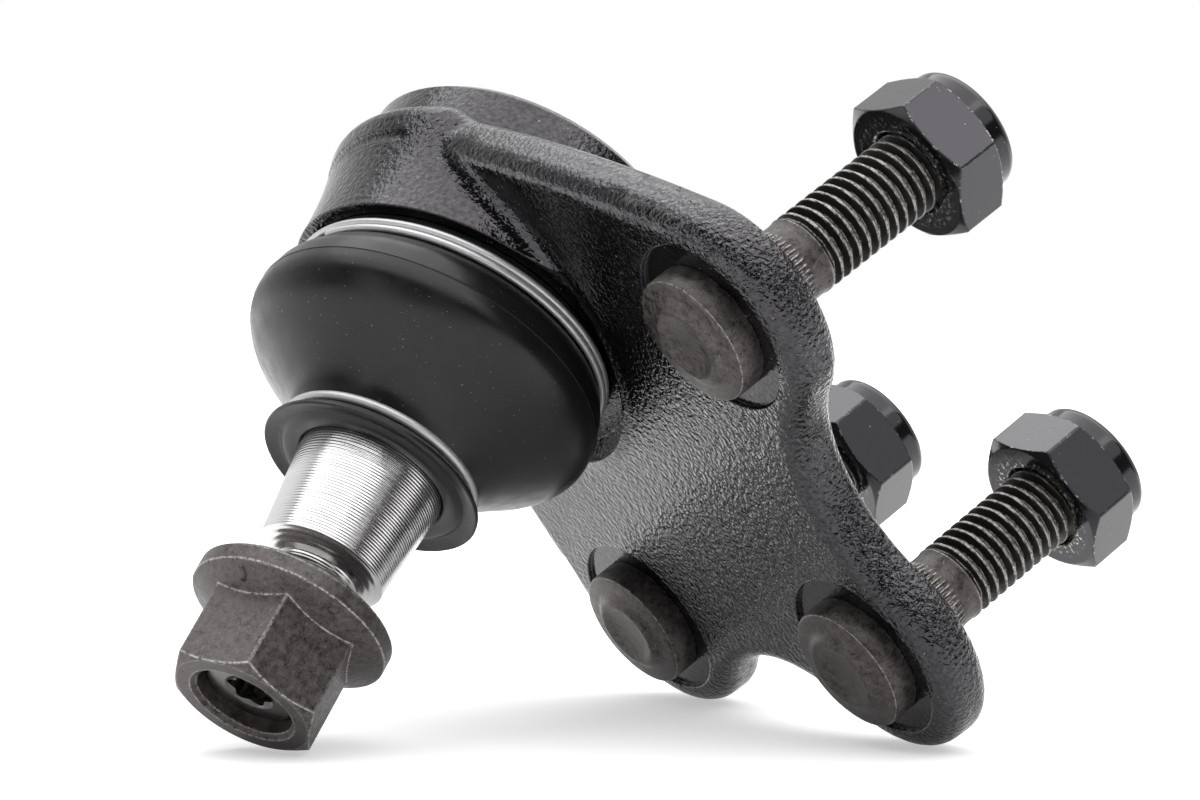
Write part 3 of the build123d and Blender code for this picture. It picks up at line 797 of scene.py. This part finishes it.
def make_bracket():
    """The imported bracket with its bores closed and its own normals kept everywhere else."""
    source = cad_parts["forged_bracket"]
    mesh = source.data.copy()
    mesh.name = "bracket_body"
    shape = bmesh.new()
    shape.from_mesh(mesh)
    kept = shape.loops.layers.float_vector.new("kept_normal")
    normals = mesh.corner_normals
    for face in shape.faces:
        for corner, index in zip(face.loops, mesh.polygons[face.index].loop_indices):
            corner[kept] = normals[index].vector
    bmesh.ops.remove_doubles(shape, verts=shape.verts, dist=WELD_DISTANCE * MM)
    close_bores(shape, kept)
    shape.to_mesh(mesh)
    shape.free()
    layer = mesh.attributes["kept_normal"]
    mesh.normals_split_custom_set([Vector(item.vector).normalized() for item in layer.data])
    mesh.attributes.remove(mesh.attributes["kept_normal"])
    mesh.transform(source.matrix_world)
    cover(mesh, ECOAT)
    obj = add_object("bracket_body", mesh)
    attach(obj, "bracket")
    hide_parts("forged_bracket")


make_bracket()
paint("cover_plate", CAP)
paint("bearing_seat", ACETAL)
paint("stud_nut", NUT_PHOSPHATE)
paint("upper_clamp_ring", WIRE)
paint("lower_clamp_ring", WIRE)


# ---- table, light and background, in metres ---------------------------------------------------
# FRONT points along the table toward the camera. The table's glow grows between two places along
# FRONT, and the surroundings dim between two values of a direction's reach along FRONT.
TABLE_UP = Vector((0.3746, -0.5607, -0.7384)).normalized()
TABLE_SIDE = TABLE_UP.cross(Vector((1, 0, 0))).normalized()
FRONT = (CAMERA_BACK - TABLE_UP * TABLE_UP.dot(CAMERA_BACK)).normalized()
TABLE_CENTRE = Vector((-0.03, 0, 0.02))
TABLE_HALF = 1.5
TABLE_GAP = 0.0002
TABLE_ALBEDO = 0.84
GLOW_FROM = 0.02
GLOW_TO = -0.25
GLOW_NEAR = 0.12
GLOW_FAR = 1.0
GLOW_SEEN = 0.44
ROOM_BEHIND = -0.60
ROOM_FRONT = 0.35
ROOM_BRIGHT = 1.0
ROOM_DIM = 0.035
ROOM_FILL = 0.12
LIGHT_TARGET = Vector((-0.025, 0, 0.01))
LIGHT_DISTANCE = 0.9


def table_white():
    """White from above and clear from below. The table glows more the farther it lies behind the
    part, and the camera sees at least GLOW_SEEN of it, for the photograph's even white."""
    material = bpy.data.materials.new("table_white")
    table = Tree(material)
    table.tree.nodes.clear()
    geometry = table.add("ShaderNodeNewGeometry")
    path = table.add("ShaderNodeLightPath")
    white = table.join("ShaderNodeBsdfDiffuse", (TABLE_ALBEDO, TABLE_ALBEDO, TABLE_ALBEDO))
    place = table.dot(geometry.outputs["Position"], FRONT)
    glow = table.step(place, GLOW_FROM, GLOW_TO, GLOW_NEAR, GLOW_FAR)
    seen = table.times(path.outputs["Is Camera Ray"], GLOW_SEEN)
    lift = table.add("ShaderNodeEmission")
    table.feed(lift.inputs["Strength"], table.math("MAXIMUM", seen, glow))
    lifted = table.join("ShaderNodeAddShader", white, lift.outputs[0])
    clear = table.join("ShaderNodeBsdfTransparent")
    surface = table.join("ShaderNodeMixShader", geometry.outputs["Backfacing"], lifted, clear)
    table.feed(table.add("ShaderNodeOutputMaterial").inputs["Surface"], surface)
    return material


def make_table():
    """The white table under the part as it lies in the picture."""
    lowest = min(TABLE_UP.dot(vertex.co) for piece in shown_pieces() if piece.type == "MESH"
                 for vertex in piece.data.vertices)
    centre = TABLE_CENTRE - TABLE_UP * (TABLE_UP.dot(TABLE_CENTRE) - lowest + TABLE_GAP)
    side = TABLE_SIDE * TABLE_HALF
    front = TABLE_SIDE.cross(TABLE_UP) * TABLE_HALF
    corners = [centre - side - front, centre + side - front, centre + side + front, centre - side + front]
    mesh = bpy.data.meshes.new("table")
    mesh.from_pydata(corners, [], [(0, 1, 2, 3)])
    if mesh.polygons[0].normal.dot(TABLE_UP) < 0:
        mesh.flip_normals()
    mesh.materials.append(table_white())
    obj = add_object("table", mesh)
    obj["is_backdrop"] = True


def make_world():
    """Reflections and diffuse light see white behind the part as far as the table's horizon and
    a dim room on the camera's side. The camera itself sees plain white all round."""
    world = bpy.data.worlds.new("studio")
    bpy.context.scene.world = world
    sky = Tree(world)
    sky.tree.nodes.clear()
    path = sky.add("ShaderNodeLightPath")
    coord = sky.add("ShaderNodeTexCoord")
    facing = sky.dot(coord.outputs["Generated"], FRONT)
    room = sky.step(facing, ROOM_BEHIND, ROOM_FRONT, ROOM_BRIGHT, ROOM_DIM, curve="SMOOTHSTEP")
    filled = sky.math("MAXIMUM", room, ROOM_FILL)
    mirrored = sky.math("MAXIMUM", path.outputs["Is Glossy Ray"], path.outputs["Is Transmission Ray"])
    unseen = sky.mix(mirrored, filled, room, kind="FLOAT")
    strength = sky.math("MAXIMUM", unseen, path.outputs["Is Camera Ray"])
    light = sky.join("ShaderNodeBackground", (1, 1, 1), strength)
    sky.feed(sky.add("ShaderNodeOutputWorld").inputs["Surface"], light)


def softbox(name, direction, size, power):
    """A rectangular light that shines on the part from a direction."""
    data = bpy.data.lights.new(name, "AREA")
    data.shape = "RECTANGLE"
    data.size, data.size_y = size
    data.energy = power
    obj = add_object(name, data)
    direction = direction.normalized()
    obj.location = LIGHT_TARGET + direction * LIGHT_DISTANCE
    obj.rotation_euler = (-direction).to_track_quat("-Z", "Y").to_euler()


make_table()
make_world()
softbox("top_box", TABLE_UP + FRONT * 0.08, (1.75, 1.65), 19.0)
softbox("right_box", TABLE_UP * 0.55 + FRONT * 0.55 - CAMERA_LEFT * 0.6, (0.5, 0.5), 0.9)
softbox("left_strip", CAMERA_LEFT + FRONT * 0.9 + TABLE_UP * 0.15, (0.10, 0.5), 0.5)

view = bpy.context.scene.view_settings
view.view_transform = "Standard"
